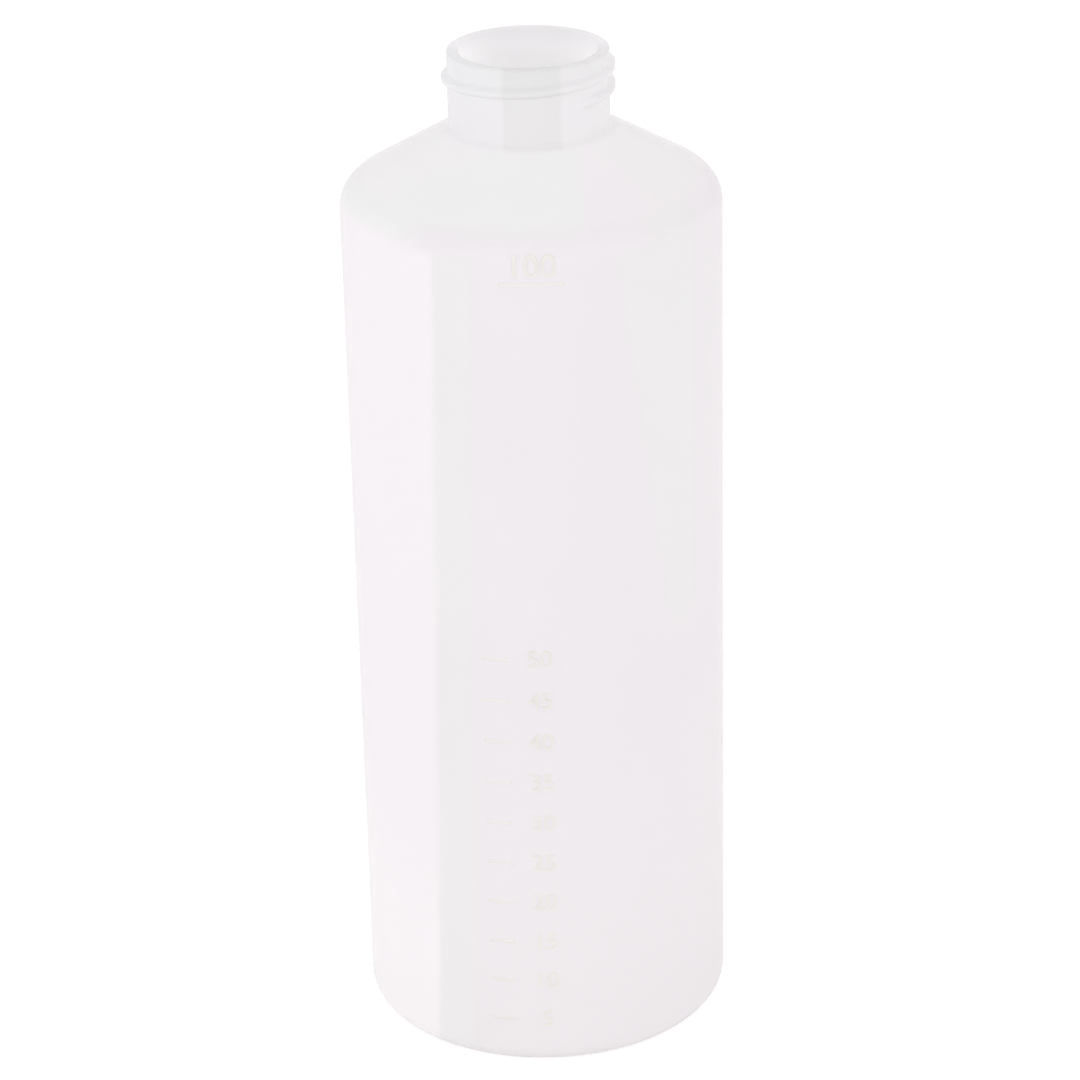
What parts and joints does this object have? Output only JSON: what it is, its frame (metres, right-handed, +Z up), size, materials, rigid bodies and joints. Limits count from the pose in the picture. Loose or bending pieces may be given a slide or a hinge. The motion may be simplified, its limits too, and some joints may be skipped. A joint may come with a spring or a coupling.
{
  "type": "soap dispenser bottle",
  "caption": "Round blow-moulded bottle for a soap dispenser, with an open screw neck, a sloped shoulder and a moulded scale, to hold liquid soap.",
  "frame": {"origin": "centre of the flat standing ring on the base", "axes": "+Z up along the bottle's axis, towards the open mouth; -Y to the side with the moulded scale"},
  "size_m": [0.083, 0.0832, 0.227],
  "materials": {
    "natural_polyethylene": "as moulded: milky, slightly see-through polyethylene with a soft sheen"
  },
  "bodies": {
    "root": {"bottle": "natural_polyethylene"}
  },
  "joints": []
}
